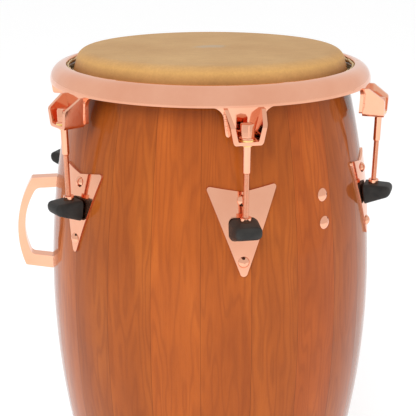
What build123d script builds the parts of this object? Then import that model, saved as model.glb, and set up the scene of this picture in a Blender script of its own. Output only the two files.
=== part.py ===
"""A conga drum: staved barrel shell, tuneable rim with six lugs, and a side handle.

Origin at the centre of the bottom mouth, +Z up the drum's axis, front lug towards -Y, handle towards -X.
"""
from build123d import *
from math import cos, radians, sin, sqrt
import os

# overall size
TOTAL_HEIGHT = 762.0
LUG_COUNT = 6
LUG_STEP = 360.0 / LUG_COUNT

# shell: the side is one arc above the belly and one below it
BELLY_R = 205.0
BELLY_Z = 440.0
UPPER_BEND_R = 1050.0
LOWER_BEND_R = 1150.0
WALL = 13.0
STAVE_COUNT = 23
STAVE_ANGLE = 360.0 / STAVE_COUNT
FIRST_STAVE_START = 6.47
BEARING_EDGE_R = 12.6
BEARING_INSIDE_R = 0.9

# rubber ring under the staves
BASE_THICK = 6.0
BASE_SKIRT_HEIGHT = 15.0
BASE_SKIRT_THICK = 2.5

# drum head and flesh hoop
HEAD_THICK = 2.0
HEAD_GAP = 0.1
COLLAR_BOTTOM_Z = 738.0
SHELL_TOP_Z = TOTAL_HEIGHT - HEAD_THICK - HEAD_GAP
HOOP_R = 176.0
HOOP_Z = 736.0
HOOP_ROD_R = 4.0

# rim: a convex band of sheet with six tongues
RIM_SHEET = 4.0
RIM_LIP_R = 174.0
RIM_BEND_R = 17.7
RIM_BEND_Z = 729.0
RIM_BOTTOM_Z = 727.0
TONGUE_BOTTOM_Z = 697.0
TONGUE_LEAN = 1.8
TONGUE_TOP_HALF = 22.0
TONGUE_BOTTOM_HALF = 18.0
TONGUE_FLARE_R = 12.6
TONGUE_FLARE_LIFT = 0.4

# tuning bolt, standing at the bolt circle
BOLT_CIRCLE_R = 205.0
THREAD_R = 3.15
THREAD_FIT = 0.07
SHANK_R = 3.97
SHANK_FIT = 0.05
SHANK_BOTTOM_Z = 663.5
BOLT_END_Z = 600.0
BOLT_FLANGE_R = 8.0
BOLT_FLANGE_THICK = 2.0
HEX_ACROSS_FLATS = 12.7
HEX_HEIGHT = 13.5

# U-shaped strap that carries the bolt
STRAP = 4.3
STRAP_UNDERSIDE_Z = 693.0
STRAP_TOP_Z = 726.0
STRAP_BOTTOM_HALF = 14.5
STRAP_TOP_HALF = 21.0
STRAP_FRONT_R = 213.0
STRAP_BACK_R = 188.5
STRAP_CORNER_R = 5.5
CHEEK_SHOULDER_Z = 713.5
CHEEK_TOP_FRONT_R = 195.0

# brass bush in the strap
BUSH_R = 5.2
BUSH_FLANGE_R = 8.4
BUSH_FLANGE_THICK = 1.6
BUSH_TIP = 1.3

# side plate, a notched shield on the shell
PLATE_THICK = 2.5
PLATE_GAP = 0.05
PLATE_TOP_Z = 645.3
PLATE_NOTCH_Z = 638.5
PLATE_TIP_Z = 545.2
PLATE_HALF = 38.3
PLATE_CORNER_R = 3.0
PLATE_TIP_R = 4.0
PLATE_BOLT_ZS = (629.3, 564.3)

# threaded receiver and its rubber foot
RECEIVER_R = 5.8
RECEIVER_TOP_Z = 616.6
RECEIVER_BOTTOM_Z = 598.0
ARM_HALF = 6.0
ARM_HEIGHT = 12.0
FOOT_TOP_Z = 611.8
FOOT_BACK_BOTTOM_Z = 588.0
FOOT_FRONT_BOTTOM_Z = 600.0
FOOT_FRONT_R = 226.5
FOOT_BACK_HALF = 16.5
FOOT_FRONT_HALF = 13.5
FOOT_CORNER_R = 4.5
FOOT_HOLE_R = 4.5

# fasteners through the shell
PLATE_BOLT_R = 3.0
PLATE_BOLT_HEAD_R = 6.25
PLATE_BOLT_HEAD_H = 4.0
ACCESSORY_HEAD_R = 7.25
ACCESSORY_HEAD_H = 3.0
ACCESSORY_ZS = (621.9, 591.1)
ACCESSORY_ANGLE = 300.0
HANDLE_BOLT_R = 4.0
HANDLE_BOLT_ZS = (600.5, 497.5)
HANDLE_BOLT_REACH = 12.0
HOLE_FIT = 0.3
WASHER_R = 8.0
WASHER_THICK = 1.2
WASHER_SEAT = 0.3
NUT_ACROSS_FLATS = 10.0
NUT_HEIGHT = 5.0
NUT_THREAD_FIT = 0.05
BOLT_TAIL = 1.5

# handle
HANDLE_HALF = 7.4
HANDLE_ANGLE = 180.0
HANDLE_TOP_ROOTS = ((-185, 610), (-185, 597))
HANDLE_TOP_OUTER, HANDLE_TOP_INNER = (-221.5, 610), (-217, 597)
HANDLE_GRIP_OUTER, HANDLE_GRIP_INNER = (-242.5, 548), (-233.8, 550)
HANDLE_BOTTOM_OUTER, HANDLE_BOTTOM_INNER = (-236.5, 497), (-228, 510.5)
HANDLE_BOTTOM_ROOTS = ((-195, 488), (-195, 504))
HANDLE_CORNERS = {HANDLE_TOP_INNER: 9, HANDLE_BOTTOM_INNER: 7, HANDLE_TOP_OUTER: 3, HANDLE_BOTTOM_OUTER: 3}


def shell_radius(z, grow=0.0):
    """Radius of the shell's outside at height z, grown evenly outwards."""
    bend = UPPER_BEND_R if z >= BELLY_Z else LOWER_BEND_R
    return BELLY_R - bend + sqrt((bend + grow) ** 2 - (z - BELLY_Z) ** 2)


def surface_plane(z, angle, grow=0.0):
    """A plane on the shell's side, its +Z along the surface's outward normal."""
    bend = UPPER_BEND_R if z >= BELLY_Z else LOWER_BEND_R
    rise = (z - BELLY_Z) / bend
    run = sqrt(1 - rise**2)
    turn = radians(angle)
    across = (-sin(turn), cos(turn), 0)
    normal = (run * cos(turn), run * sin(turn), rise)
    foot = shell_radius(z)
    origin = (foot * cos(turn) + grow * normal[0], foot * sin(turn) + grow * normal[1], z + grow * rise)
    return Plane(origin=origin, x_dir=across, z_dir=normal)


def side_arc(low, high, grow=0.0):
    """The shell's side as a line in the XZ plane, from one height up to another."""
    middle = (low + high) / 2
    ThreePointArc(
        (shell_radius(low, grow), low), (shell_radius(middle, grow), middle), (shell_radius(high, grow), high)
    )


def label_and_export(part, name):
    part.label = name
    export_step(part, f"parts/{name}.step")


def export_at_lugs(part, name):
    """One node per lug, turned about the drum's axis from the front lug."""
    for number in range(LUG_COUNT):
        label_and_export(part.rotate(Axis.Z, number * LUG_STEP), f"{name}_{number + 1}")


os.makedirs("parts", exist_ok=True)

lug_angles = [270.0 + number * LUG_STEP for number in range(LUG_COUNT)]
plate_bolt_seats = [(z, angle) for angle in lug_angles for z in PLATE_BOLT_ZS]
accessory_seats = [(z, ACCESSORY_ANGLE) for z in ACCESSORY_ZS]
handle_seats = [(z, HANDLE_ANGLE) for z in HANDLE_BOLT_ZS]


def seat_planes(seats, grow):
    return [surface_plane(z, angle, grow) for z, angle in seats]


# ---- shell ----

with BuildPart() as bolt_holes:
    with Locations(*seat_planes(plate_bolt_seats + accessory_seats, 0)):
        Cylinder(PLATE_BOLT_R + HOLE_FIT, 3 * WALL)
    with Locations(*seat_planes(handle_seats, 0)):
        Cylinder(HANDLE_BOLT_R + HOLE_FIT, 3 * WALL)

with BuildPart() as stave:
    with BuildSketch(Plane.XZ) as stave_section:
        with BuildLine():
            side_arc(BASE_THICK, BELLY_Z)
            side_arc(BELLY_Z, SHELL_TOP_Z)
            Line((shell_radius(SHELL_TOP_Z), SHELL_TOP_Z), (shell_radius(SHELL_TOP_Z, -WALL), SHELL_TOP_Z))
            side_arc(BELLY_Z, SHELL_TOP_Z, -WALL)
            side_arc(BASE_THICK, BELLY_Z, -WALL)
            Line((shell_radius(BASE_THICK), BASE_THICK), (shell_radius(BASE_THICK, -WALL), BASE_THICK))
        make_face()
        top_corners = stave_section.vertices().group_by(Axis.Y)[-1].sort_by(Axis.X)
        fillet(top_corners[-1], BEARING_EDGE_R)
        fillet(stave_section.vertices().group_by(Axis.Y)[-1].sort_by(Axis.X)[0], BEARING_INSIDE_R)
    revolve(axis=Axis.Z, revolution_arc=STAVE_ANGLE)

stave_copies = []
for number in range(STAVE_COUNT):
    with BuildPart() as one_stave:
        add(stave.part.rotate(Axis.Z, FIRST_STAVE_START + number * STAVE_ANGLE))
        add(bolt_holes.part, mode=Mode.SUBTRACT)
    stave_copies.append(one_stave.part.solid())
label_and_export(Compound(children=stave_copies), "staves")

with BuildPart() as base_ring:
    inner = shell_radius(BASE_THICK, -WALL)
    with BuildSketch(Plane.XZ):
        with BuildLine():
            skirt_top = BASE_SKIRT_HEIGHT
            Polyline(
                (shell_radius(BASE_THICK), BASE_THICK),
                (inner, BASE_THICK),
                (inner, 0),
                (shell_radius(0, BASE_SKIRT_THICK), 0),
            )
            side_arc(0, skirt_top, BASE_SKIRT_THICK)
            outer_lip = (shell_radius(skirt_top, BASE_SKIRT_THICK), skirt_top)
            Line(outer_lip, (shell_radius(skirt_top, PLATE_GAP), skirt_top))
            side_arc(BASE_THICK, skirt_top, PLATE_GAP)
            Line((shell_radius(BASE_THICK, PLATE_GAP), BASE_THICK), (shell_radius(BASE_THICK), BASE_THICK))
        make_face()
    revolve(axis=Axis.Z)
label_and_export(base_ring.part, "base_ring")

# ---- head and flesh hoop ----


def capped_section(grow):
    """Half section of the shell's top as if solid, with its edge rounded, grown evenly."""
    top = SHELL_TOP_Z + grow
    with BuildSketch(Plane.XZ) as section:
        with BuildLine():
            Line((0, COLLAR_BOTTOM_Z), (shell_radius(COLLAR_BOTTOM_Z, grow), COLLAR_BOTTOM_Z))
            side_arc(COLLAR_BOTTOM_Z, top, grow)
            Polyline((shell_radius(top, grow), top), (0, top), (0, COLLAR_BOTTOM_Z))
        make_face()
        corner = section.vertices().group_by(Axis.Y)[-1].sort_by(Axis.X)[-1]
        fillet(corner, BEARING_EDGE_R + grow)
    return section.sketch


with BuildPart() as drum_head:
    add(capped_section(HEAD_GAP + HEAD_THICK))
    revolve(axis=Axis.Z)
    with BuildPart(mode=Mode.SUBTRACT):
        add(capped_section(HEAD_GAP))
        revolve(axis=Axis.Z)
label_and_export(drum_head.part, "drum_head")

with BuildPart() as flesh_hoop:
    with BuildSketch(Plane.XZ):
        with Locations((HOOP_R, HOOP_Z)):
            Circle(HOOP_ROD_R)
    revolve(axis=Axis.Z)
label_and_export(flesh_hoop.part, "flesh_hoop")

# ---- rim with its tongues ----

rim_outer_r = RIM_LIP_R + RIM_BEND_R
rim_inner_r = rim_outer_r - RIM_SHEET

with BuildPart() as tongues:
    with BuildSketch(Plane.XZ):
        with BuildLine():
            Polyline(
                (rim_inner_r, RIM_BOTTOM_Z),
                (rim_outer_r, RIM_BOTTOM_Z),
                (rim_outer_r - TONGUE_LEAN, TONGUE_BOTTOM_Z),
                (rim_inner_r - TONGUE_LEAN, TONGUE_BOTTOM_Z),
                close=True,
            )
        make_face()
    revolve(axis=Axis.Z)
    with BuildSketch(Plane.XZ) as tongue_outline:
        flare = TONGUE_TOP_HALF + TONGUE_FLARE_R
        flare_z = RIM_BOTTOM_Z + TONGUE_FLARE_LIFT
        with BuildLine():
            Polyline(
                (-flare, RIM_BEND_Z),
                (-flare, flare_z),
                (-TONGUE_TOP_HALF, flare_z),
                (-TONGUE_BOTTOM_HALF, TONGUE_BOTTOM_Z),
                (TONGUE_BOTTOM_HALF, TONGUE_BOTTOM_Z),
                (TONGUE_TOP_HALF, flare_z),
                (flare, flare_z),
                (flare, RIM_BEND_Z),
                close=True,
            )
        make_face()
        inside_corners = tongue_outline.vertices().group_by(Axis.Y)[1].sort_by(Axis.X)[1:3]
        fillet(inside_corners, TONGUE_FLARE_R)
        fillet(tongue_outline.vertices().group_by(Axis.Y)[0], 3)
    prism = extrude(amount=rim_outer_r + 10, mode=Mode.PRIVATE)
    add([prism.rotate(Axis.Z, number * LUG_STEP) for number in range(LUG_COUNT)], mode=Mode.INTERSECT)

with BuildPart() as rim:
    with BuildSketch(Plane.XZ):
        middle = sqrt(0.5)
        with BuildLine():
            lip = RIM_BEND_R - RIM_SHEET
            ThreePointArc(
                (RIM_LIP_R, RIM_BEND_Z + RIM_BEND_R),
                (RIM_LIP_R + middle * RIM_BEND_R, RIM_BEND_Z + middle * RIM_BEND_R),
                (rim_outer_r, RIM_BEND_Z),
            )
            Polyline(
                (rim_outer_r, RIM_BEND_Z),
                (rim_outer_r, RIM_BOTTOM_Z),
                (rim_inner_r, RIM_BOTTOM_Z),
                (rim_inner_r, RIM_BEND_Z),
            )
            ThreePointArc(
                (rim_inner_r, RIM_BEND_Z),
                (RIM_LIP_R + middle * lip, RIM_BEND_Z + middle * lip),
                (RIM_LIP_R, RIM_BEND_Z + lip),
            )
            ThreePointArc(
                (RIM_LIP_R, RIM_BEND_Z + lip),
                (RIM_LIP_R - RIM_SHEET / 2, RIM_BEND_Z + lip + RIM_SHEET / 2),
                (RIM_LIP_R, RIM_BEND_Z + RIM_BEND_R),
            )
        make_face()
    revolve(axis=Axis.Z)
    add(tongues.part)
label_and_export(rim.part, "rim")

# ---- strap, bush and tuning bolt of the front lug ----

bolt_axis = (0, -BOLT_CIRCLE_R)
strap_floor_z = STRAP_UNDERSIDE_Z + STRAP

with BuildPart() as lug_bracket:
    with BuildSketch(Plane.XZ.offset(STRAP_BACK_R)) as strap_outline:
        with BuildLine():
            Polyline(
                (-STRAP_TOP_HALF, STRAP_TOP_Z),
                (-STRAP_BOTTOM_HALF, STRAP_UNDERSIDE_Z),
                (STRAP_BOTTOM_HALF, STRAP_UNDERSIDE_Z),
                (STRAP_TOP_HALF, STRAP_TOP_Z),
                close=True,
            )
        make_face()
        fillet(strap_outline.vertices().group_by(Axis.Y)[0], STRAP_CORNER_R)
        with BuildSketch(mode=Mode.SUBTRACT) as strap_inside:
            with BuildLine():
                Polyline(
                    (STRAP - STRAP_TOP_HALF, STRAP_TOP_Z),
                    (STRAP - STRAP_BOTTOM_HALF, strap_floor_z),
                    (STRAP_BOTTOM_HALF - STRAP, strap_floor_z),
                    (STRAP_TOP_HALF - STRAP, STRAP_TOP_Z),
                    close=True,
                )
            make_face()
            fillet(strap_inside.vertices().group_by(Axis.Y)[0], STRAP_CORNER_R - STRAP)
    extrude(amount=STRAP_FRONT_R - STRAP_BACK_R)
    with BuildSketch(Plane.YZ) as cheek_outline:
        with BuildLine():
            Polyline(
                (-STRAP_BACK_R, STRAP_UNDERSIDE_Z),
                (-STRAP_FRONT_R, STRAP_UNDERSIDE_Z),
                (-STRAP_FRONT_R, CHEEK_SHOULDER_Z),
                (-CHEEK_TOP_FRONT_R, STRAP_TOP_Z),
                (-STRAP_BACK_R, STRAP_TOP_Z),
                close=True,
            )
        make_face()
        front = cheek_outline.vertices().group_by(Axis.X)[0].sort_by(Axis.Y)
        fillet(front[0], 2)
        fillet(cheek_outline.vertices().group_by(Axis.X)[0].sort_by(Axis.Y)[-1], 5)
    extrude(amount=STRAP_TOP_HALF, both=True, mode=Mode.INTERSECT)
    with Locations((*bolt_axis, STRAP_UNDERSIDE_Z)):
        Cylinder(BUSH_R, 4 * STRAP, mode=Mode.SUBTRACT)
    add(rim.part, mode=Mode.SUBTRACT)
export_at_lugs(lug_bracket.part, "lug_bracket")

with BuildPart() as lug_bush:
    with BuildSketch(Plane.XY.offset(STRAP_UNDERSIDE_Z - BUSH_TIP)):
        with Locations(bolt_axis):
            Circle(BUSH_R)
            Circle(SHANK_R + SHANK_FIT, mode=Mode.SUBTRACT)
    extrude(amount=BUSH_TIP + STRAP)
    with BuildSketch(Plane.XY.offset(strap_floor_z)):
        with Locations(bolt_axis):
            Circle(BUSH_FLANGE_R)
            Circle(SHANK_R + SHANK_FIT, mode=Mode.SUBTRACT)
    extrude(amount=BUSH_FLANGE_THICK)
export_at_lugs(lug_bush.part, "lug_bush")

bolt_seat_z = strap_floor_z + BUSH_FLANGE_THICK
with BuildPart() as tuning_bolt:
    with BuildSketch(Plane.XY.offset(bolt_seat_z + BOLT_FLANGE_THICK)):
        with Locations(bolt_axis):
            RegularPolygon(HEX_ACROSS_FLATS / 2, 6, major_radius=False)
    extrude(amount=HEX_HEIGHT)
    chamfer(tuning_bolt.faces().sort_by(Axis.Z)[-1].edges(), 0.8)
    with BuildSketch(Plane.XY.offset(bolt_seat_z)):
        with Locations(bolt_axis):
            Circle(BOLT_FLANGE_R)
    extrude(amount=BOLT_FLANGE_THICK)
    with BuildSketch(Plane.XY.offset(SHANK_BOTTOM_Z)):
        with Locations(bolt_axis):
            Circle(SHANK_R)
    extrude(amount=bolt_seat_z - SHANK_BOTTOM_Z)
    with BuildSketch(Plane.XY.offset(BOLT_END_Z)):
        with Locations(bolt_axis):
            Circle(THREAD_R)
    extrude(amount=SHANK_BOTTOM_Z - BOLT_END_Z)
export_at_lugs(tuning_bolt.part, "tuning_bolt")

# ---- side plate, receiver and rubber foot of the front lug ----


def solid_of_revolution(low, high, grow):
    """The shell's outside as a solid body between two heights, grown evenly."""
    with BuildPart() as body:
        with BuildSketch(Plane.XZ):
            with BuildLine():
                side_arc(low, high, grow)
                Polyline((shell_radius(high, grow), high), (0, high), (0, low), (shell_radius(low, grow), low))
            make_face()
        revolve(axis=Axis.Z)
    return body.part


plate_outside = solid_of_revolution(PLATE_TIP_Z - 20, PLATE_TOP_Z + 20, PLATE_GAP + PLATE_THICK)
plate_inside = solid_of_revolution(PLATE_TIP_Z - 20, PLATE_TOP_Z + 20, PLATE_GAP)

with BuildPart() as side_plate:
    with BuildSketch(Plane.XZ) as plate_outline:
        with BuildLine():
            Polyline(
                (-PLATE_HALF, PLATE_TOP_Z),
                (0, PLATE_NOTCH_Z),
                (PLATE_HALF, PLATE_TOP_Z),
                (0, PLATE_TIP_Z - PLATE_TIP_R),
                close=True,
            )
        make_face()
        fillet(plate_outline.vertices().group_by(Axis.Y)[-1], PLATE_CORNER_R)
        fillet(plate_outline.vertices().group_by(Axis.Y)[0], PLATE_TIP_R)
    extrude(amount=BOLT_CIRCLE_R)
    add(plate_outside, mode=Mode.INTERSECT)
    add(plate_inside, mode=Mode.SUBTRACT)
    with Locations(*seat_planes([(z, lug_angles[0]) for z in PLATE_BOLT_ZS], 0)):
        Cylinder(PLATE_BOLT_R + HOLE_FIT, 3 * WALL, mode=Mode.SUBTRACT)
export_at_lugs(side_plate.part, "side_plate")

arm_z = FOOT_TOP_Z - ARM_HEIGHT
with BuildPart() as lug_receiver:
    with BuildSketch(Plane.XY.offset(RECEIVER_BOTTOM_Z)):
        with Locations(bolt_axis):
            Circle(RECEIVER_R)
    extrude(amount=RECEIVER_TOP_Z - RECEIVER_BOTTOM_Z)
    with BuildSketch(Plane.XZ.offset(BOLT_CIRCLE_R - 2 * WALL)):
        with Locations((0, arm_z)):
            Rectangle(2 * ARM_HALF, ARM_HEIGHT)
    extrude(amount=2 * WALL)
    add(plate_outside, mode=Mode.SUBTRACT)
    with Locations((*bolt_axis, RECEIVER_BOTTOM_Z)):
        Cylinder(THREAD_R + THREAD_FIT, 3 * (RECEIVER_TOP_Z - RECEIVER_BOTTOM_Z), mode=Mode.SUBTRACT)
export_at_lugs(lug_receiver.part, "lug_receiver")

with BuildPart() as rubber_foot:
    with BuildSketch(Plane.XY.offset(FOOT_BACK_BOTTOM_Z)):
        foot_back_r = BOLT_CIRCLE_R - 2 * WALL
        with BuildLine():
            Polyline(
                (-FOOT_BACK_HALF, -foot_back_r),
                (-FOOT_FRONT_HALF, -FOOT_FRONT_R),
                (FOOT_FRONT_HALF, -FOOT_FRONT_R),
                (FOOT_BACK_HALF, -foot_back_r),
                close=True,
            )
        make_face()
    extrude(amount=FOOT_TOP_Z - FOOT_BACK_BOTTOM_Z)
    fillet(rubber_foot.edges().filter_by(Axis.Z).group_by(Axis.Y)[0], FOOT_CORNER_R)
    with BuildSketch(Plane.YZ):
        with BuildLine():
            Polyline(
                (-BOLT_CIRCLE_R, FOOT_BACK_BOTTOM_Z),
                (-FOOT_FRONT_R, FOOT_BACK_BOTTOM_Z),
                (-FOOT_FRONT_R, FOOT_FRONT_BOTTOM_Z),
                close=True,
            )
        make_face()
    extrude(amount=FOOT_BACK_HALF, both=True, mode=Mode.SUBTRACT)
    fillet(rubber_foot.edges().filter_by(Axis.X).group_by(Axis.Y)[0].sort_by(Axis.Z)[-1], FOOT_CORNER_R)
    add(plate_outside, mode=Mode.SUBTRACT)
    with Locations((*bolt_axis, FOOT_BACK_BOTTOM_Z)):
        Cylinder(FOOT_HOLE_R, 3 * (FOOT_TOP_Z - FOOT_BACK_BOTTOM_Z), mode=Mode.SUBTRACT)
    add(lug_receiver.part, mode=Mode.SUBTRACT)
export_at_lugs(rubber_foot.part, "rubber_foot")

# ---- fasteners ----


def bolt_length(grow):
    """From the head's underside, through the wall, washer and nut, to the bolt's tail."""
    return grow + WALL + WASHER_SEAT + WASHER_THICK + NUT_HEIGHT + BOLT_TAIL


def domed_bolt(head_r, head_h, grow):
    """A dome-headed bolt standing on z = 0, its shank downwards."""
    ball_r = (head_r**2 + head_h**2) / (2 * head_h)
    with BuildPart(mode=Mode.PRIVATE) as bolt:
        with Locations((0, 0, head_h - ball_r)):
            Sphere(ball_r)
        Box(3 * ball_r, 3 * ball_r, 3 * ball_r, align=(Align.CENTER, Align.CENTER, Align.MAX), mode=Mode.SUBTRACT)
        with BuildSketch(Plane.XY):
            Circle(PLATE_BOLT_R)
        extrude(amount=-bolt_length(grow))
    return bolt.part


def place(part, seats, grow, name):
    """Copies of one fastener on the shell, as separate solids of one node."""
    with BuildPart() as group:
        with Locations(*seat_planes(seats, grow)):
            add(part)
    label_and_export(group.part, name)


with BuildPart() as nut:
    with BuildSketch(Plane.XY):
        RegularPolygon(NUT_ACROSS_FLATS / 2, 6, major_radius=False)
        Circle(PLATE_BOLT_R + NUT_THREAD_FIT, mode=Mode.SUBTRACT)
    extrude(amount=-NUT_HEIGHT)

with BuildPart() as washer:
    with BuildSketch(Plane.XY):
        Circle(WASHER_R)
        Circle(PLATE_BOLT_R + HOLE_FIT, mode=Mode.SUBTRACT)
    extrude(amount=-WASHER_THICK)

inside_face = -WALL - WASHER_SEAT
for name, seats, head_r, head_h, grow in (
    ("side_plate", plate_bolt_seats, PLATE_BOLT_HEAD_R, PLATE_BOLT_HEAD_H, PLATE_GAP + PLATE_THICK),
    ("accessory", accessory_seats, ACCESSORY_HEAD_R, ACCESSORY_HEAD_H, 0.1),
):
    place(domed_bolt(head_r, head_h, grow), seats, grow, f"{name}_bolts")
    place(washer.part, seats, inside_face, f"{name}_washers")
    place(nut.part, seats, inside_face - WASHER_THICK, f"{name}_nuts")

with BuildPart() as handle_bolt:
    with BuildSketch(Plane.XY):
        RegularPolygon(HEX_ACROSS_FLATS / 2, 6, major_radius=False)
    extrude(amount=-NUT_HEIGHT)
    with BuildSketch(Plane.XY):
        Circle(HANDLE_BOLT_R)
    extrude(amount=WASHER_THICK + WASHER_SEAT + WALL + HANDLE_BOLT_REACH)
place(handle_bolt.part, handle_seats, inside_face - WASHER_THICK, "handle_bolts")

with BuildPart() as handle_washer:
    with BuildSketch(Plane.XY):
        Circle(WASHER_R)
        Circle(HANDLE_BOLT_R + HOLE_FIT, mode=Mode.SUBTRACT)
    extrude(amount=-WASHER_THICK)
place(handle_washer.part, handle_seats, inside_face, "handle_washers")

# ---- handle: a bent bar with a bowed grip, its legs cut to the shell ----

with BuildPart() as handle:
    with BuildSketch(Plane.XZ.offset(-HANDLE_HALF)):
        with BuildLine():
            Line(HANDLE_TOP_ROOTS[0], HANDLE_TOP_OUTER)
            ThreePointArc(HANDLE_TOP_OUTER, HANDLE_GRIP_OUTER, HANDLE_BOTTOM_OUTER)
            Polyline(HANDLE_BOTTOM_OUTER, *HANDLE_BOTTOM_ROOTS, HANDLE_BOTTOM_INNER)
            ThreePointArc(HANDLE_BOTTOM_INNER, HANDLE_GRIP_INNER, HANDLE_TOP_INNER)
            Polyline(HANDLE_TOP_INNER, HANDLE_TOP_ROOTS[1], HANDLE_TOP_ROOTS[0])
        make_face()
    extrude(amount=2 * HANDLE_HALF)
    for (x, z), round_r in HANDLE_CORNERS.items():
        fillet(handle.edges().filter_by(Axis.Y).sort_by_distance((x, 0, z))[0], round_r)
    add(solid_of_revolution(470, 640, HEAD_GAP), mode=Mode.SUBTRACT)
    with Locations(*seat_planes(handle_seats, 0)):
        Cylinder(HANDLE_BOLT_R + NUT_THREAD_FIT, 2 * (HANDLE_BOLT_REACH + 1), mode=Mode.SUBTRACT)
label_and_export(handle.part, "handle")
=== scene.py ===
"""Looks for the conga drum: lacquered staves, copper-plated hardware, rubber feet and a hide head."""

from math import asin, atan2, cos, degrees, pi, radians, sin, sqrt, tau

import bmesh
import bpy
from mathutils import Euler, Matrix, Vector


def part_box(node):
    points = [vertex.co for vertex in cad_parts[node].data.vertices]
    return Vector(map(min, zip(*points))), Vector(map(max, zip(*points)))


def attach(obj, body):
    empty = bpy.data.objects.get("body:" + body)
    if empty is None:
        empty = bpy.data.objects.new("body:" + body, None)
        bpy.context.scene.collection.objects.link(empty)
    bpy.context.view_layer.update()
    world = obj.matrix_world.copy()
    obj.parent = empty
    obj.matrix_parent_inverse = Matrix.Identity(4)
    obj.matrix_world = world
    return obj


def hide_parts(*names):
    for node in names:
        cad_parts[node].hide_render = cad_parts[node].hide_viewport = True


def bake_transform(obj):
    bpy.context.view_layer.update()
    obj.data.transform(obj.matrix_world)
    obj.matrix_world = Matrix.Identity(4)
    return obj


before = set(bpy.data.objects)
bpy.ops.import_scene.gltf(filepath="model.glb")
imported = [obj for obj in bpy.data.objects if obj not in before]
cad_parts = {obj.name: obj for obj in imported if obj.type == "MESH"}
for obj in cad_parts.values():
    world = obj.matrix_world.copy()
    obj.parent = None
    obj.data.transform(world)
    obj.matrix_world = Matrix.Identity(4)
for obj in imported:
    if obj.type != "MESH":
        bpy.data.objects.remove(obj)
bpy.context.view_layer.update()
scene = bpy.context.scene

MM = 0.001
LUG_COUNT = 6
LUG_STEP = tau / LUG_COUNT
LUGS = range(1, LUG_COUNT + 1)
STAVE_COUNT = 23
FIRST_STAVE_START = radians(6.47)
THREAD_PITCH = 1.27 * MM


# ---- camera, lights and floor ----

def add_camera():
    """The photograph's view: 10 degrees to the left of the front lug, looking down by 20 degrees."""
    data = bpy.data.cameras.new("camera")
    data.lens = 66.19
    data.sensor_width = 36.0
    camera = bpy.data.objects.new("camera", data)
    around, pitch = radians(-9.98), radians(19.53)
    distance, height, aside = 0.9330, 0.8861, -0.0029
    camera.location = (
        distance * sin(around) + aside * cos(around),
        -distance * cos(around) + aside * sin(around),
        height,
    )
    camera.rotation_euler = Euler((pi / 2 - pitch, 0, around))
    scene.collection.objects.link(camera)
    scene.camera = camera


def add_light(name, place, size, watts, target=(0, 0, 0.5)):
    data = bpy.data.lights.new(name, "AREA")
    data.shape = "RECTANGLE"
    data.size, data.size_y = size
    data.energy = watts
    light = bpy.data.objects.new(name, data)
    light.location = place
    light.rotation_euler = (Vector(target) - Vector(place)).to_track_quat("-Z", "Y").to_euler()
    light.visible_glossy = False
    scene.collection.objects.link(light)


def add_studio():
    world = bpy.data.worlds.new("studio")
    world.use_nodes = True
    background = world.node_tree.nodes["Background"].inputs
    background["Color"].default_value = (1.0, 1.0, 1.0, 1)
    background["Strength"].default_value = 0.88
    scene.world = world
    scene.view_settings.view_transform = "Standard"
    add_light("key", (-1.3, -1.9, 2.3), (1.4, 1.4), 38)
    add_light("fill", (2.1, -1.4, 1.3), (0.8, 1.8), 12)
    mesh = bpy.data.meshes.new("floor")
    reach = 12.0
    corners = [(-reach, -reach, 0), (reach, -reach, 0), (reach, reach, 0), (-reach, reach, 0)]
    mesh.from_pydata(corners, [], [(0, 1, 2, 3)])
    floor = bpy.data.objects.new("floor", mesh)
    scene.collection.objects.link(floor)
    white = bpy.data.materials.new("floor_white")
    white.use_nodes = True
    surface = white.node_tree.nodes["Principled BSDF"].inputs
    surface["Base Color"].default_value = (0.96, 0.96, 0.96, 1)
    surface["Roughness"].default_value = 0.9
    surface["Emission Color"].default_value = (1, 1, 1, 1)
    surface["Emission Strength"].default_value = 0.14
    mesh.materials.append(white)


# ---- materials ----

class Nodes:
    """A material being wired up, with short names for the usual steps."""

    def __init__(self, name, **sockets):
        self.material = bpy.data.materials.new(name)
        self.material.use_nodes = True
        self.tree = self.material.node_tree
        self.shader = self.tree.nodes["Principled BSDF"]
        for key, value in sockets.items():
            self.shader.inputs[key.replace("_", " ")].default_value = value

    def add(self, kind, settings=None, **inputs):
        node = self.tree.nodes.new(kind)
        for key, value in (settings or {}).items():
            setattr(node, key, value)
        for key, value in inputs.items():
            self.feed(node.inputs[key.replace("_", " ")], value)
        return node

    def feed(self, socket, value):
        if hasattr(value, "is_output"):
            self.tree.links.new(value, socket)
        else:
            socket.default_value = value

    def math(self, operation, a, b=0.0):
        node = self.tree.nodes.new("ShaderNodeMath")
        node.operation = operation
        self.feed(node.inputs[0], a)
        self.feed(node.inputs[1], b)
        return node.outputs[0]

    def mix(self, factor, a, b, blend="MIX"):
        node = self.tree.nodes.new("ShaderNodeMix")
        node.data_type = "RGBA"
        node.blend_type = blend
        self.feed(node.inputs[0], factor)
        self.feed(node.inputs[6], a)
        self.feed(node.inputs[7], b)
        return node.outputs[2]

    def ramp(self, value, stops):
        node = self.tree.nodes.new("ShaderNodeValToRGB")
        elements = node.color_ramp.elements
        while len(elements) < len(stops):
            elements.new(0.5)
        for element, (place, colour) in zip(elements, stops):
            element.position = place
            element.color = colour
        self.feed(node.inputs[0], value)
        return node.outputs[0]

    def place(self):
        """Object coordinates, split into x, y and z."""
        coordinates = self.add("ShaderNodeTexCoord").outputs["Object"]
        split = self.add("ShaderNodeSeparateXYZ", Vector=coordinates)
        return coordinates, split.outputs

    def noise(self, vector, scale, detail=4.0, roughness=0.55):
        node = self.add("ShaderNodeTexNoise", Scale=scale, Detail=detail, Roughness=roughness, Vector=vector)
        return node.outputs["Fac"]

    def bump(self, height, strength, distance):
        node = self.add("ShaderNodeBump", Strength=strength, Distance=distance, Height=height)
        self.feed(self.shader.inputs["Normal"], node.outputs["Normal"])


def grey(value):
    return (value, value, value, 1)


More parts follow.
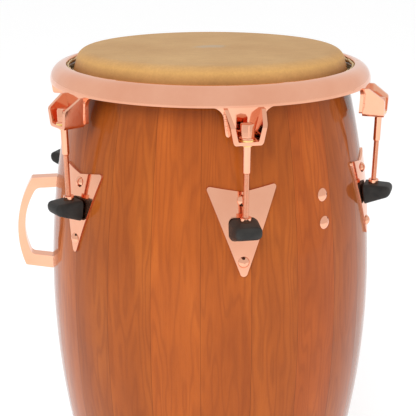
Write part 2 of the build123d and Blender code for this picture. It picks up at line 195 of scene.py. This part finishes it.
def length_of(n, across, along):
    """The distance from the middle, of a point this far across and along."""
    squares = n.math("ADD", n.math("MULTIPLY", across, across), n.math("MULTIPLY", along, along))
    return n.math("SQRT", squares)


def wood_material():
    """Stained staves under clear lacquer: each stave has its own tone, figure and pores."""
    lacquer = {"Coat_Weight": 1.0, "Coat_Roughness": 0.03, "Coat_IOR": 1.22}
    n = Nodes("lacquered_staves", Roughness=0.5, Specular_IOR_Level=0.05, **lacquer)
    _, (x, y, z) = n.place()
    angle = n.math("ARCTAN2", y, x)
    steps = n.math("DIVIDE", n.math("SUBTRACT", angle, FIRST_STAVE_START), tau / STAVE_COUNT)
    number = n.math("FLOOR", steps)
    across = n.math("FRACT", steps)
    one_number = {"noise_dimensions": "1D"}
    tone = n.add("ShaderNodeTexWhiteNoise", one_number, W=number).outputs["Value"]
    second = n.add("ShaderNodeTexWhiteNoise", one_number, W=n.math("ADD", number, 41.3)).outputs["Value"]

    def stave_vector(wide, tall):
        """Across the stave and up it, moved on for each stave so that no two match."""
        along = n.math("MULTIPLY", n.math("ADD", z, n.math("MULTIPLY", tone, 7.0)), tall)
        sideways = n.math("MULTIPLY", across, wide)
        own = n.math("MULTIPLY", number, 3.7)
        return n.add("ShaderNodeCombineXYZ", X=sideways, Y=along, Z=own).outputs[0]

    warp = n.noise(stave_vector(1.1, 2.6), 1.6, 2.0)
    figure = n.math("ADD", across, n.math("MULTIPLY", warp, 5.0))
    rings = n.math("SINE", n.math("MULTIPLY", figure, n.math("ADD", n.math("MULTIPLY", second, 7.0), 11.0)))
    rings = n.math("POWER", n.math("ADD", n.math("MULTIPLY", rings, 0.5), 0.5), 2.2)
    streaks = n.noise(stave_vector(16.0, 3.0), 3.0, 6.0, 0.6)
    pores = n.noise(stave_vector(90.0, 30.0), 4.0, 2.0, 0.6)
    clouds = n.noise(stave_vector(1.2, 5.0), 1.4, 3.0)

    base = n.ramp(
        clouds,
        [(0.25, (0.300, 0.060, 0.009, 1)), (0.55, (0.410, 0.090, 0.012, 1)), (0.8, (0.520, 0.130, 0.018, 1))],
    )
    base = n.mix(n.math("MULTIPLY", rings, 0.42), base, (0.230, 0.042, 0.007, 1))
    base = n.mix(n.math("MULTIPLY", streaks, 0.34), base, (0.560, 0.165, 0.026, 1))
    dark_pores = n.ramp(pores, [(0.30, grey(0.72)), (0.46, grey(1.0))])
    base = n.mix(0.6, base, dark_pores, "MULTIPLY")
    stave_tone = n.math("ADD", n.math("MULTIPLY", tone, 0.32), 0.66)
    tint = n.add("ShaderNodeCombineXYZ", X=stave_tone, Y=stave_tone, Z=stave_tone).outputs[0]
    base = n.mix(1.0, base, tint, "MULTIPLY")
    redder = n.math("MULTIPLY", second, 0.35)
    base = n.mix(redder, base, n.mix(1.0, base, (1.12, 0.80, 0.62, 1), "MULTIPLY"))
    edge = n.math("MULTIPLY", n.math("ABSOLUTE", n.math("SUBTRACT", across, 0.5)), 2.0)
    joint = n.ramp(edge, [(0.982, grey(1.0)), (0.995, grey(0.62))])
    base = n.mix(1.0, base, joint, "MULTIPLY")
    n.feed(n.shader.inputs["Base Color"], base)
    n.bump(n.math("ADD", n.math("MULTIPLY", pores, 0.4), n.math("MULTIPLY", streaks, 0.4)), 0.05, 0.0004)
    return n.material


def copper_material():
    """Bright copper plating with faint polishing haze and a soft waviness."""
    n = Nodes("copper_plating", Metallic=1.0)
    coordinates, _ = n.place()
    smudge = n.noise(coordinates, 22.0, 5.0)
    tone = n.ramp(smudge, [(0.35, (0.860, 0.410, 0.262, 1)), (0.65, (0.900, 0.455, 0.300, 1))])
    n.feed(n.shader.inputs["Base Color"], tone)
    n.feed(n.shader.inputs["Roughness"], n.math("ADD", n.math("MULTIPLY", smudge, 0.10), 0.05))
    n.bump(n.noise(coordinates, 60.0, 2.0), 0.04, 0.0008)
    return n.material


def brass_material():
    """Yellow brass with fine marks, for the bushes."""
    n = Nodes("brass", Metallic=1.0)
    coordinates, _ = n.place()
    marks = n.noise(coordinates, 180.0, 4.0)
    tone = n.ramp(marks, [(0.3, (0.80, 0.55, 0.18, 1)), (0.7, (0.92, 0.70, 0.30, 1))])
    n.feed(n.shader.inputs["Base Color"], tone)
    n.feed(n.shader.inputs["Roughness"], n.math("ADD", n.math("MULTIPLY", marks, 0.15), 0.12))
    return n.material


def zinc_material():
    """Dull zinc for the pieces inside: nuts, washers, handle bolts and flesh hoop."""
    n = Nodes("zinc_plating", Metallic=1.0)
    coordinates, _ = n.place()
    spangle = n.noise(coordinates, 140.0, 5.0)
    tone = n.ramp(spangle, [(0.3, (0.46, 0.46, 0.44, 1)), (0.7, (0.66, 0.66, 0.63, 1))])
    n.feed(n.shader.inputs["Base Color"], tone)
    n.feed(n.shader.inputs["Roughness"], n.math("ADD", n.math("MULTIPLY", spangle, 0.25), 0.22))
    return n.material


def rubber_material():
    """Moulded black rubber with a fine matt grain."""
    n = Nodes("black_rubber", Specular_IOR_Level=0.22)
    coordinates, _ = n.place()
    dust = n.noise(coordinates, 60.0, 6.0)
    tone = n.ramp(dust, [(0.35, (0.016, 0.015, 0.014, 1)), (0.7, (0.034, 0.031, 0.028, 1))])
    n.feed(n.shader.inputs["Base Color"], tone)
    n.feed(n.shader.inputs["Roughness"], n.math("ADD", n.math("MULTIPLY", dust, 0.2), 0.42))
    n.bump(n.noise(coordinates, 1500.0, 2.0), 0.12, 0.0003)
    return n.material


def skin_material(top_z, collar_z, hoop_r):
    """Hide: pale worn top, a painted highlight along the fold, darker collar, cream cut edge, and a faint
    worn oval patch.
    """
    n = Nodes("hide", Roughness=0.6, Specular_IOR_Level=0.18)
    coordinates, (x, y, z) = n.place()
    blotch = n.noise(coordinates, 9.0, 6.0, 0.6)
    fine = n.noise(coordinates, 420.0, 4.0, 0.7)
    stretched = n.add("ShaderNodeMapping", Scale=(1.0, 3.0, 1.0), Vector=coordinates).outputs[0]
    fibre = n.noise(stretched, 55.0, 5.0, 0.65)
    top = n.ramp(blotch, [(0.3, (0.455, 0.255, 0.098, 1)), (0.7, (0.550, 0.335, 0.145, 1))])
    collar = n.ramp(blotch, [(0.3, (0.320, 0.115, 0.026, 1)), (0.7, (0.440, 0.170, 0.042, 1))])
    height = n.add("ShaderNodeMapRange", Value=z, From_Min=collar_z, From_Max=top_z).outputs[0]
    colour = n.mix(height, collar, top)
    # painted highlight: a lighter golden band along the fold, where light catches the rounding
    fold_highlight = n.ramp(height, [(0.35, grey(0.0)), (0.72, grey(1.0)), (0.97, grey(0.0))])
    colour = n.mix(n.math("MULTIPLY", fold_highlight, 0.55), colour, (0.640, 0.360, 0.110, 1))
    mottle = n.ramp(fine, [(0.3, grey(0.86)), (0.7, grey(1.06))])
    colour = n.mix(0.7, colour, mottle, "MULTIPLY")
    fibre_tone = n.ramp(fibre, [(0.3, grey(0.82)), (0.7, grey(1.08))])
    colour = n.mix(0.35, colour, fibre_tone, "MULTIPLY")
    patch_half_x, patch_half_y = 26 * MM, 13 * MM
    oval = length_of(n, n.math("DIVIDE", x, patch_half_x), n.math("DIVIDE", y, patch_half_y))
    rough_edge = n.math("SUBTRACT", n.noise(coordinates, 70.0, 4.0), 0.5)
    worn = n.math("ADD", oval, n.math("MULTIPLY", rough_edge, 1.3))
    patch = n.ramp(worn, [(0.55, grey(0.42)), (1.05, grey(0.0))])
    colour = n.mix(n.math("MULTIPLY", patch, height), colour, (0.36, 0.34, 0.30, 1))
    radius = length_of(n, x, y)
    inner, outer = hoop_r - 10 * MM, hoop_r - 6 * MM
    tucked = n.add("ShaderNodeMapRange", Value=radius, From_Min=inner, From_Max=outer).outputs[0]
    colour = n.mix(tucked, colour, (0.66, 0.52, 0.30, 1))
    n.feed(n.shader.inputs["Base Color"], colour)
    n.bump(n.math("ADD", n.math("MULTIPLY", fine, 0.5), n.math("MULTIPLY", fibre, 0.5)), 0.18, 0.0005)
    return n.material


# ---- mesh helpers ----

ALL_SMOOTH = 180


def new_piece(name, mesh, material, body, sharp_from=40):
    """Adds a made piece. Edges sharper than sharp_from degrees stay crisp; ALL_SMOOTH rounds every one."""
    piece = bpy.data.objects.new(name, mesh)
    scene.collection.objects.link(piece)
    mesh.materials.append(material)
    if sharp_from == ALL_SMOOTH:
        mesh.shade_smooth()
    else:
        mesh.set_sharp_from_angle(angle=radians(sharp_from))
    if body:
        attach(piece, body)
    return piece


def lathe(name, outline, steps):
    """A surface of revolution about Z through (radius, height) points; a radius of 0 closes to one point."""
    mesh = bpy.data.meshes.new(name)
    built = bmesh.new()
    rings = []
    for radius, height in outline:
        ring = []
        for i in range(1 if radius == 0 else steps):
            turn = tau * i / steps
            ring.append(built.verts.new((radius * cos(turn), radius * sin(turn), height)))
        rings.append(ring)
    for low, high in zip(rings, rings[1:]):
        for i in range(steps):
            lower = [low[i % len(low)], low[(i + 1) % len(low)]]
            upper = [high[(i + 1) % len(high)], high[i % len(high)]]
            corners = list(dict.fromkeys(lower + upper))
            if len(corners) > 2:
                built.faces.new(corners)
    bmesh.ops.recalc_face_normals(built, faces=built.faces)
    built.to_mesh(mesh)
    built.free()
    for face in mesh.polygons:
        face.use_smooth = True
    return mesh


def arc(centre, radius, start, stop, steps):
    """Points on a circle in (radius, height), from one angle to another in degrees."""
    turns = [radians(start + (stop - start) * i / steps) for i in range(steps + 1)]
    return [(centre[0] + radius * cos(t), centre[1] + radius * sin(t)) for t in turns]


def turned(mesh, number):
    """A copy of a front-lug mesh, turned to another lug."""
    copy = mesh.copy()
    copy.transform(Matrix.Rotation((number - 1) * LUG_STEP, 4, "Z"))
    return copy


def soften_edges(node, width, segments=3):
    """A small rolled edge on a CAD node, as a modifier."""
    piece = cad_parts[node]
    bevel = piece.modifiers.new("rolled_edge", "BEVEL")
    bevel.width = width
    bevel.segments = segments
    bevel.limit_method = "ANGLE"
    bevel.angle_limit = radians(50)


def repaint(material, *families):
    """Gives a finish to CAD nodes whose names start with one of these words."""
    for name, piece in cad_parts.items():
        if name.startswith(families):
            piece.data.materials.clear()
            piece.data.materials.append(material)


# ---- head: one skin from the flat top, over the shell, round the flesh hoop to its tucked edge ----

def make_head():
    """The hide, dipping slightly at its middle."""
    low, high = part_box("drum_head")
    hoop_low, hoop_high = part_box("flesh_hoop")
    top_z, collar_z, collar_r = high[2], low[2], high[0]
    rod = (hoop_high[2] - hoop_low[2]) / 2
    hoop_r, hoop_z = hoop_high[0] - rod, hoop_low[2] + rod
    fold = 14.7 * MM
    # the collar follows the shell's side, an arc about a point far across the drum
    shell_bend, skin_outside, belly_z = 1050 * MM, 2.1 * MM, 440 * MM
    bend_r = shell_bend + skin_outside
    bend_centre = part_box("staves")[1][0] - shell_bend
    fold_z = top_z - fold
    fold_lean = asin((fold_z - belly_z) / (bend_r - fold))
    fold_r = bend_centre + (bend_r - fold) * cos(fold_lean)
    dip = 0.5 * MM
    crown = [(fold_r * f, top_z - dip * (1 - f)) for f in (0, 0.2, 0.4, 0.6, 0.8, 0.93)]
    over = arc((fold_r, fold_z), fold, 90, degrees(fold_lean), 12)
    side_z = [fold_z + f * (collar_z - fold_z) for f in (0.2, 0.5, 0.8)]
    side = [(bend_centre + sqrt(bend_r**2 - (z - belly_z) ** 2), z) for z in side_z]
    wrap = rod + 1.0 * MM
    down = [(collar_r + 0.6 * MM, collar_z - 1 * MM), (collar_r + 2.6 * MM, collar_z - 5 * MM)]
    under = arc((hoop_r, hoop_z), wrap, 215, 490, 26)
    tuck = [(hoop_r - 6.3 * MM, hoop_z + 5.2 * MM), (hoop_r - 7.2 * MM, hoop_z + 8.0 * MM)]
    mesh = lathe("skin", crown + over + side + down + under + tuck, 288)
    hide = skin_material(top_z, collar_z, hoop_r)
    piece = new_piece("head_skin", mesh, hide, None, ALL_SMOOTH)
    # the cut edge is uneven, like hide trimmed by hand
    edge_z = hoop_z + wrap + 1.0 * MM
    for vertex in mesh.vertices:
        x, y, z = vertex.co
        if z > edge_z and sqrt(x * x + y * y) > collar_r + 1 * MM:
            turn = atan2(y, x)
            ragged = sin(turn * 37) + 0.8 * sin(turn * 61 + 1.3)
            ragged += 0.6 * sin(turn * 113 + 0.4) + 0.4 * sin(turn * 17)
            vertex.co.z += 0.55 * MM * ragged
    shell = piece.modifiers.new("thickness", "SOLIDIFY")
    shell.thickness = 1.6 * MM
    shell.offset = -1.0
    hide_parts("drum_head")
    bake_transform(piece)


# ---- tuning bolts with real threads ----

def make_bolts(copper):
    """A hexagonal head, a flange with its shank, and a helical thread, copied to the six lugs."""
    low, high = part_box("tuning_bolt_1")
    centre = Vector(((low[0] + high[0]) / 2, (low[1] + high[1]) / 2, 0))
    flange_r = (high[0] - low[0]) / 2
    flats = 12.7 * MM / 2
    head_z = high[2] - 13.5 * MM
    seat_z = head_z - 2 * MM
    shank_r, shank_z = 3.97 * MM, 663.5 * MM
    thread_r, end_z = 3.15 * MM, low[2]

    built = bmesh.new()
    # hexagonal head with its corners turned off at the top
    rings = []
    head_outline = [
        (flats, head_z), (flats, high[2] - 1.3 * MM),
        (flats * 0.93, high[2] - 0.25 * MM), (flats * 0.84, high[2]),
    ]
    for radius, height in head_outline:
        corner = radius / cos(pi / 6)
        ring = []
        for i in range(6):
            turn = pi / 6 + i * pi / 3
            ring.append(built.verts.new((corner * cos(turn), corner * sin(turn), height)))
        rings.append(ring)
    for below, above in zip(rings, rings[1:]):
        for i in range(6):
            built.faces.new((below[i], below[(i + 1) % 6], above[(i + 1) % 6], above[i]))
    built.faces.new(rings[-1])
    upright = [e for e in built.edges if abs(e.verts[0].co.z - e.verts[1].co.z) > 5 * MM]
    bmesh.ops.bevel(built, geom=upright, offset=0.5 * MM, segments=2, affect="EDGES")
    head = bpy.data.meshes.new("bolt_head")
    built.to_mesh(head)
    built.free()

    flange = lathe("bolt_flange", [
        (0, head_z + 0.1 * MM), (flats, head_z + 0.1 * MM), (flange_r - 0.7 * MM, head_z - 0.3 * MM),
        (flange_r, head_z - 0.9 * MM), (flange_r, seat_z + 0.3 * MM), (flange_r - 0.3 * MM, seat_z),
        (shank_r, seat_z), (shank_r, shank_z + 1.2 * MM), (shank_r - 0.3 * MM, shank_z + 0.4 * MM),
        (thread_r + 0.2 * MM, shank_z), (thread_r - 0.5 * MM, shank_z - 0.2 * MM),
    ], 48)

    around, per_turn = 20, 6
    depth = 0.55 * MM
    rows = int((shank_z - end_z) / THREAD_PITCH * per_turn)
    outline = [(thread_r, end_z + i * THREAD_PITCH / per_turn) for i in range(rows + 1)]
    thread = lathe("bolt_thread", [(0, end_z)] + outline, around)
    for vertex in thread.vertices:
        x, y, z = vertex.co
        if x or y:
            phase = (z / THREAD_PITCH - atan2(y, x) / tau) % 1.0
            cut = thread_r - depth * abs(2 * phase - 1)
            scale = cut / sqrt(x * x + y * y)
            vertex.co.x = x * scale
            vertex.co.y = y * scale

    for number in LUGS:
        body = f"tuning_bolt_{number}"
        for mesh in (head, flange, thread):
            copy = mesh.copy()
            copy.transform(Matrix.Translation(centre))
            name = f"{mesh.name}_{number}"
            new_piece(name, turned(copy, number), copper, body)
        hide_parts(body)


# ---- rubber feet ----

def make_feet(rubber):
    """A moulded block over each receiver, its underside rising to the front and its corners well rounded."""
    low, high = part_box("rubber_foot_1")
    front, top, bottom = low[1], high[2], low[2]
    back_half, front_half = high[0], 13.5 * MM
    lift = 11.5 * MM
    back_top, back_bottom = -194.4 * MM, -198.0 * MM
    corners = [
        (-back_half, back_top, top), (back_half, back_top, top),
        (front_half, front, top), (-front_half, front, top),
        (-back_half, back_bottom, bottom), (back_half, back_bottom, bottom),
        (front_half, front, bottom + lift), (-front_half, front, bottom + lift),
    ]
    faces = [(0, 3, 2, 1), (4, 5, 6, 7), (0, 1, 5, 4), (1, 2, 6, 5), (2, 3, 7, 6), (3, 0, 4, 7)]
    mesh = bpy.data.meshes.new("rubber")
    mesh.from_pydata([Vector(c) for c in corners], [], faces)
    built = bmesh.new()
    built.from_mesh(mesh)
    forward = [e for e in built.edges if min(v.co.y for v in e.verts) < front + 1 * MM]
    rounding = {"profile": 0.5, "affect": "EDGES", "clamp_overlap": True}
    bmesh.ops.bevel(built, geom=forward, offset=5.6 * MM, segments=8, **rounding)
    rear = [e for e in built.edges if min(v.co.y for v in e.verts) > back_bottom - 1 * MM]
    bmesh.ops.bevel(built, geom=rear, offset=1.6 * MM, segments=4, **rounding)
    bmesh.ops.recalc_face_normals(built, faces=built.faces)
    built.to_mesh(mesh)
    built.free()
    for number in LUGS:
        name = f"moulded_foot_{number}"
        piece = new_piece(name, turned(mesh, number), rubber, "drum_body", 35)
        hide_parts(f"rubber_foot_{number}")


# ---- weld beads between strap and rim ----

def make_welds(copper):
    """A lumpy bead up each side of the strap, where it meets the rim's tongue."""
    low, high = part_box("lug_bracket_1")
    rim_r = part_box("rim")[1][0]
    path_steps, ring_steps = 70, 10
    bottom_half, top_half = 14.5 * MM, 21.0 * MM
    start_z, stop_z = low[2] + 8 * MM, high[2] - 3 * MM
    tongue_top_z, tongue_height, tongue_taper = 727 * MM, 30 * MM, 1.8 * MM
    bead_mm, outward = 1.25, 0.2 * MM
    for side in (-1, 1):
        built = bmesh.new()
        rings = []
        for i in range(path_steps + 1):
            f = i / path_steps
            z = start_z + f * (stop_z - start_z)
            x = side * (bottom_half + (top_half - bottom_half) * (z - low[2]) / (high[2] - low[2]))
            tongue_r = rim_r - tongue_taper * (tongue_top_z - z) / tongue_height
            y = -sqrt(max(tongue_r**2 - x * x, 0)) - outward
            lumps = 0.12 * sin(f * 60) + 0.10 * sin(f * 23 + 1)
            ends = min(1, 6 * f + 0.3, 6 * (1 - f) + 0.3)
            bead = (bead_mm + lumps) * MM * ends
            ring = []
            for j in range(ring_steps):
                turn = tau * j / ring_steps
                ring.append(built.verts.new((x + bead * cos(turn), y + bead * sin(turn), z)))
            rings.append(ring)
        for a, b in zip(rings, rings[1:]):
            for j in range(ring_steps):
                built.faces.new((a[j], a[(j + 1) % ring_steps], b[(j + 1) % ring_steps], b[j]))
        built.faces.new(rings[0][::-1])
        built.faces.new(rings[-1])
        mesh = bpy.data.meshes.new(f"weld_{'left' if side < 0 else 'right'}")
        bmesh.ops.recalc_face_normals(built, faces=built.faces)
        built.to_mesh(mesh)
        built.free()
        for number in LUGS:
            name = f"{mesh.name}_{number}"
            new_piece(name, turned(mesh, number), copper, "rim", ALL_SMOOTH)


# ---- the scene ----

add_camera()
add_studio()

wood, copper, brass = wood_material(), copper_material(), brass_material()
zinc, rubber = zinc_material(), rubber_material()
repaint(wood, "staves")
repaint(copper, "rim", "lug_bracket", "lug_receiver", "side_plate")
repaint(copper, "handle", "accessory_bolts", "tuning_bolt")
repaint(brass, "lug_bush")
repaint(zinc, "side_plate_nuts", "side_plate_washers", "accessory_nuts", "accessory_washers")
repaint(zinc, "handle_bolts", "handle_washers", "flesh_hoop")
repaint(rubber, "rubber_foot", "base_ring")
soften_edges("rim", 0.9 * MM)
soften_edges("handle", 1.3 * MM, 4)
for number in LUGS:
    soften_edges(f"side_plate_{number}", 0.7 * MM)
    soften_edges(f"lug_bracket_{number}", 0.8 * MM)

make_head()
make_bolts(copper)
make_feet(rubber)
make_welds(copper)
